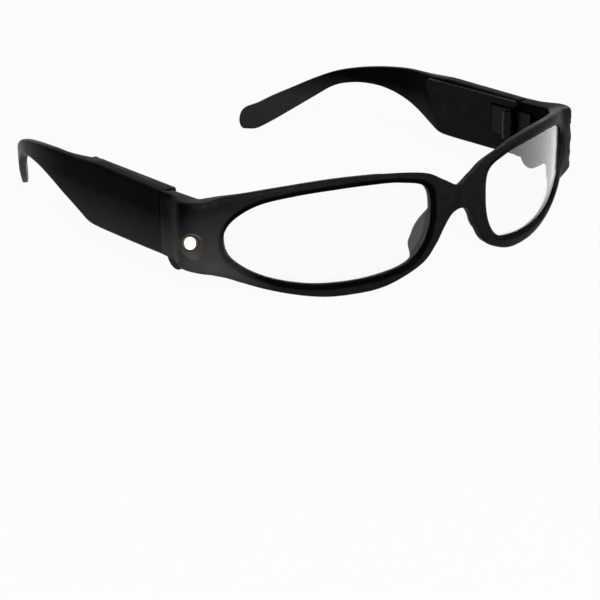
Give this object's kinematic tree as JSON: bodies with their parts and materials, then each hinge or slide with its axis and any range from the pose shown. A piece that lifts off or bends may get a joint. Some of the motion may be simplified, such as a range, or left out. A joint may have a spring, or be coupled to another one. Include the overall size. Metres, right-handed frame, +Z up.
{
  "type": "led safety glasses",
  "caption": "Wraparound clear safety glasses with folding temples, a lamp in each endpiece, a battery pod behind each hinge and a press button under each endpiece.",
  "frame": {"origin": "centre of the bounding box, on the plane that the rim bottoms and the ear ends rest on", "axes": "+X to the wearer's left, +Y back towards the ears, +Z up"},
  "size_m": [0.1486, 0.1619, 0.0339],
  "materials": {
    "black_plastic": "satin moulded",
    "clear_lens": "polished clear",
    "hinge_steel": "black oxide",
    "lamp_lens": "clear dome",
    "lamp_ring": "gloss",
    "circuit_board": "coated board",
    "switch_plastic": "gloss",
    "button_plastic": "fine grain",
    "contact_brass": "plated",
    "cell_steel": "satin nickel"
  },
  "bodies": {
    "front": {"front_frame": "black_plastic", "lens_left": "clear_lens", "lens_right": "clear_lens", "front_hinge_leaf_left": "hinge_steel", "front_hinge_leaf_right": "hinge_steel", "hinge_screw_left": "hinge_steel", "hinge_screw_right": "hinge_steel", "lamp_left": "lamp_lens", "lamp_right": "lamp_lens", "lamp_ring_left": "lamp_ring", "lamp_ring_right": "lamp_ring", "lamp_board_left": "circuit_board", "lamp_board_right": "circuit_board", "switch_body_left": "switch_plastic", "switch_body_right": "switch_plastic", "circuit_cover_left": "black_plastic", "circuit_cover_right": "black_plastic", "contact_pins_left": "contact_brass", "contact_pins_right": "contact_brass"},
    "temple_left": {"temple_left": "black_plastic", "temple_hinge_leaf_left": "hinge_steel", "battery_cover_left": "black_plastic", "cover_screw_left": "hinge_steel", "outer_cell_left": "cell_steel", "inner_cell_left": "cell_steel", "positive_contact_left": "contact_brass", "negative_contact_left": "contact_brass"},
    "button_left": {"switch_button_left": "button_plastic"},
    "temple_right": {"temple_right": "black_plastic", "temple_hinge_leaf_right": "hinge_steel", "battery_cover_right": "black_plastic", "cover_screw_right": "hinge_steel", "outer_cell_right": "cell_steel", "inner_cell_right": "cell_steel", "positive_contact_right": "contact_brass", "negative_contact_right": "contact_brass"},
    "button_right": {"switch_button_right": "button_plastic"}
  },
  "joints": [
    {"name": "left_temple_fold", "type": "hinge", "parent": "front", "child": "temple_left", "pos_m": [0.06495, -0.03506, 0.0215], "axis": [0, 0, 1], "range_deg": [0, 90]},
    {"name": "right_temple_fold", "type": "hinge", "parent": "front", "child": "temple_right", "pos_m": [-0.06495, -0.03506, 0.0215], "axis": [0, 0, -1], "range_deg": [0, 76]},
    {"name": "left_button_press", "type": "slide", "parent": "front", "child": "button_left", "axis": [0, 0, 1], "range_m": [0, 0.0008], "stiffness_N_per_m": 400, "springref_m": -0.0004},
    {"name": "right_button_press", "type": "slide", "parent": "front", "child": "button_right", "axis": [0, 0, 1], "range_m": [0, 0.0008], "stiffness_N_per_m": 400, "springref_m": -0.0004}
  ]
}
